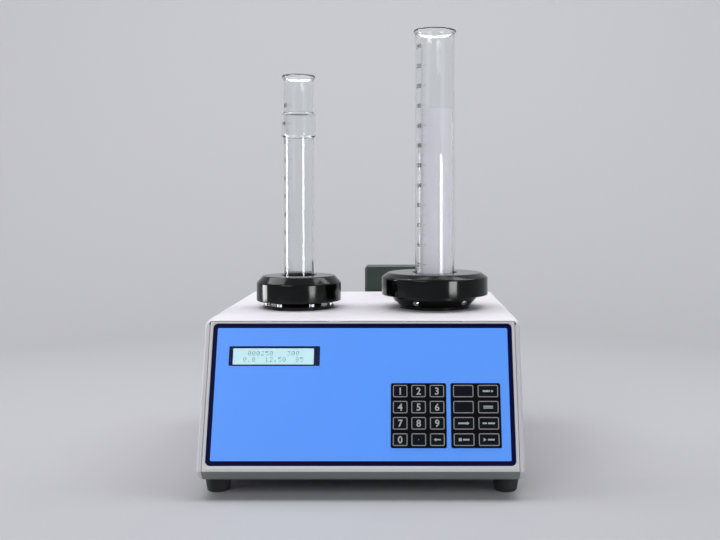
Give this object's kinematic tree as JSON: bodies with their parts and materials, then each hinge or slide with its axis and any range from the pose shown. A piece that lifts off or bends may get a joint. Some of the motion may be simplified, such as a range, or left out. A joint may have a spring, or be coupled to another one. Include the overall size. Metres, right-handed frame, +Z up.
{
  "type": "tap density tester",
  "caption": "Bench tap density tester: a sloped keypad console whose cam drive lifts and drops clamped glass measuring cylinders of powder.",
  "frame": {"origin": "middle of the overall box, at bench level", "axes": "+Z up, the sloping front face towards -Y, +X to the right as seen from the front"},
  "size_m": [0.283, 0.3484, 0.426],
  "materials": {
    "case_paint": "satin light grey paint",
    "tray_paint": "satin grey paint",
    "rubber_black": "matt black",
    "screw_steel": "bright",
    "plate_navy": "satin navy",
    "overlay_blue": "satin blue film",
    "lens_clear": "clear",
    "screen_cyan": "lit pale cyan",
    "module_black": "dark",
    "keypad_black": "matt black",
    "key_black": "satin black",
    "board_green": "solder mask",
    "supply_black": "satin dark grey",
    "socket_black": "satin black",
    "port_steel": "plated",
    "frame_alloy": "machined",
    "shaft_steel": "ground",
    "gear_brass": "machined",
    "motor_grey": "satin",
    "holder_black": "polished black",
    "glass_clear": "clear",
    "powder_white": "fine white powder"
  },
  "bodies": {
    "case": {"cover_shell": "case_paint", "front_bezel": "case_paint", "base_tray": "tray_paint", "rear_panel": "case_paint", "rubber_feet": "rubber_black", "case_screws": "screw_steel", "panel_plate": "plate_navy", "panel_overlay": "overlay_blue", "display_lens": "lens_clear", "display_screen": "screen_cyan", "display_module": "module_black", "keypad_frames": "keypad_black", "control_board": "board_green", "power_supply": "board_green", "supply_box": "supply_black", "mains_inlet": "socket_black", "switch_frame": "socket_black", "serial_port": "port_steel", "drive_frame": "frame_alloy", "shaft_bearings": "shaft_steel", "gear_motor": "motor_grey", "left_guide_housing": "holder_black", "right_guide_housing": "holder_black", "guide_pins": "shaft_steel", "flange_screws": "screw_steel"},
    "cam_train": {"camshaft": "shaft_steel", "lift_cams": "shaft_steel", "drive_gear": "gear_brass"},
    "pinion": {"motor_pinion": "gear_brass"},
    "left_lifter": {"left_spindle": "shaft_steel", "small_platform": "holder_black"},
    "right_lifter": {"right_spindle": "shaft_steel", "large_platform": "holder_black", "large_platform_screws": "screw_steel"},
    "small_glass": {"small_cylinder": "glass_clear"},
    "large_glass": {"large_cylinder": "glass_clear", "powder_sample": "powder_white"},
    "small_ring": {"small_clamp_ring": "holder_black"},
    "large_ring": {"large_clamp_ring": "holder_black"},
    "rocker": {"mains_rocker": "socket_black"},
    "key_1_cap": {"key_1": "key_black"},
    "key_2_cap": {"key_2": "key_black"},
    "key_3_cap": {"key_3": "key_black"},
    "key_4_cap": {"key_4": "key_black"},
    "key_5_cap": {"key_5": "key_black"},
    "key_6_cap": {"key_6": "key_black"},
    "key_7_cap": {"key_7": "key_black"},
    "key_8_cap": {"key_8": "key_black"},
    "key_9_cap": {"key_9": "key_black"},
    "key_point_cap": {"key_point": "key_black"},
    "key_0_cap": {"key_0": "key_black"},
    "key_clear_cap": {"key_clear": "key_black"},
    "key_f1_cap": {"key_f1": "key_black"},
    "key_f2_cap": {"key_f2": "key_black"},
    "key_f3_cap": {"key_f3": "key_black"},
    "key_f4_cap": {"key_f4": "key_black"},
    "key_f5_cap": {"key_f5": "key_black"},
    "key_f6_cap": {"key_f6": "key_black"},
    "key_f7_cap": {"key_f7": "key_black"},
    "key_f8_cap": {"key_f8": "key_black"}
  },
  "joints": [
    {"name": "cam_turn", "type": "hinge", "parent": "case", "child": "cam_train", "pos_m": [0, -0.03381, 0.055], "axis": [1, 0, 0], "range_deg": [0, 240]},
    {"name": "pinion_turn", "type": "hinge", "parent": "case", "child": "pinion", "pos_m": [0, 0.00219, 0.055], "axis": [1, 0, 0], "range_deg": [-720, 0]},
    {"name": "left_lift", "type": "slide", "parent": "case", "child": "left_lifter", "axis": [0, 0, 1], "range_m": [0, 0.014]},
    {"name": "right_lift", "type": "slide", "parent": "case", "child": "right_lifter", "axis": [0, 0, 1], "range_m": [0, 0.014]},
    {"name": "small_glass_out", "type": "slide", "parent": "left_lifter", "child": "small_glass", "axis": [0, 0, 1], "range_m": [0, 0.06]},
    {"name": "large_glass_out", "type": "slide", "parent": "right_lifter", "child": "large_glass", "axis": [0, 0, 1], "range_m": [0, 0.06]},
    {"name": "small_ring_turn", "type": "hinge", "parent": "small_glass", "child": "small_ring", "pos_m": [-0.068, -0.03381, 0.17], "axis": [0, 0, 1], "range_deg": [0, 90]},
    {"name": "large_ring_turn", "type": "hinge", "parent": "large_glass", "child": "large_ring", "pos_m": [0.068, -0.03381, 0.174], "axis": [0, 0, 1], "range_deg": [0, 90]},
    {"name": "mains_rock", "type": "hinge", "parent": "case", "child": "rocker", "pos_m": [0.033, 0.17019, 0.134], "axis": [1, 0, 0], "range_deg": [0, 16]},
    {"name": "key_1_press", "type": "slide", "parent": "case", "child": "key_1_cap", "axis": [0, 0.9455, -0.3256], "range_m": [0, 0.0005], "stiffness_N_per_m": 1500},
    {"name": "key_2_press", "type": "slide", "parent": "case", "child": "key_2_cap", "axis": [0, 0.9455, -0.3256], "range_m": [0, 0.0005], "stiffness_N_per_m": 1500},
    {"name": "key_3_press", "type": "slide", "parent": "case", "child": "key_3_cap", "axis": [0, 0.9455, -0.3256], "range_m": [0, 0.0005], "stiffness_N_per_m": 1500},
    {"name": "key_4_press", "type": "slide", "parent": "case", "child": "key_4_cap", "axis": [0, 0.9455, -0.3256], "range_m": [0, 0.0005], "stiffness_N_per_m": 1500},
    {"name": "key_5_press", "type": "slide", "parent": "case", "child": "key_5_cap", "axis": [0, 0.9455, -0.3256], "range_m": [0, 0.0005], "stiffness_N_per_m": 1500},
    {"name": "key_6_press", "type": "slide", "parent": "case", "child": "key_6_cap", "axis": [0, 0.9455, -0.3256], "range_m": [0, 0.0005], "stiffness_N_per_m": 1500},
    {"name": "key_7_press", "type": "slide", "parent": "case", "child": "key_7_cap", "axis": [0, 0.9455, -0.3256], "range_m": [0, 0.0005], "stiffness_N_per_m": 1500},
    {"name": "key_8_press", "type": "slide", "parent": "case", "child": "key_8_cap", "axis": [0, 0.9455, -0.3256], "range_m": [0, 0.0005], "stiffness_N_per_m": 1500},
    {"name": "key_9_press", "type": "slide", "parent": "case", "child": "key_9_cap", "axis": [0, 0.9455, -0.3256], "range_m": [0, 0.0005], "stiffness_N_per_m": 1500},
    {"name": "key_point_press", "type": "slide", "parent": "case", "child": "key_point_cap", "axis": [0, 0.9455, -0.3256], "range_m": [0, 0.0005], "stiffness_N_per_m": 1500},
    {"name": "key_0_press", "type": "slide", "parent": "case", "child": "key_0_cap", "axis": [0, 0.9455, -0.3256], "range_m": [0, 0.0005], "stiffness_N_per_m": 1500},
    {"name": "key_clear_press", "type": "slide", "parent": "case", "child": "key_clear_cap", "axis": [0, 0.9455, -0.3256], "range_m": [0, 0.0005], "stiffness_N_per_m": 1500},
    {"name": "key_f1_press", "type": "slide", "parent": "case", "child": "key_f1_cap", "axis": [0, 0.9455, -0.3256], "range_m": [0, 0.0005], "stiffness_N_per_m": 1500},
    {"name": "key_f2_press", "type": "slide", "parent": "case", "child": "key_f2_cap", "axis": [0, 0.9455, -0.3256], "range_m": [0, 0.0005], "stiffness_N_per_m": 1500},
    {"name": "key_f3_press", "type": "slide", "parent": "case", "child": "key_f3_cap", "axis": [0, 0.9455, -0.3256], "range_m": [0, 0.0005], "stiffness_N_per_m": 1500},
    {"name": "key_f4_press", "type": "slide", "parent": "case", "child": "key_f4_cap", "axis": [0, 0.9455, -0.3256], "range_m": [0, 0.0005], "stiffness_N_per_m": 1500},
    {"name": "key_f5_press", "type": "slide", "parent": "case", "child": "key_f5_cap", "axis": [0, 0.9455, -0.3256], "range_m": [0, 0.0005], "stiffness_N_per_m": 1500},
    {"name": "key_f6_press", "type": "slide", "parent": "case", "child": "key_f6_cap", "axis": [0, 0.9455, -0.3256], "range_m": [0, 0.0005], "stiffness_N_per_m": 1500},
    {"name": "key_f7_press", "type": "slide", "parent": "case", "child": "key_f7_cap", "axis": [0, 0.9455, -0.3256], "range_m": [0, 0.0005], "stiffness_N_per_m": 1500},
    {"name": "key_f8_press", "type": "slide", "parent": "case", "child": "key_f8_cap", "axis": [0, 0.9455, -0.3256], "range_m": [0, 0.0005], "stiffness_N_per_m": 1500}
  ],
  "couplings": [
    {"joint": "pinion_turn", "follows": "cam_turn", "ratio": -3},
    {"joint": "left_lift", "follows": "cam_turn", "m_per_rad": 0.0033422},
    {"joint": "right_lift", "follows": "cam_turn", "m_per_rad": 0.0033422}
  ]
}
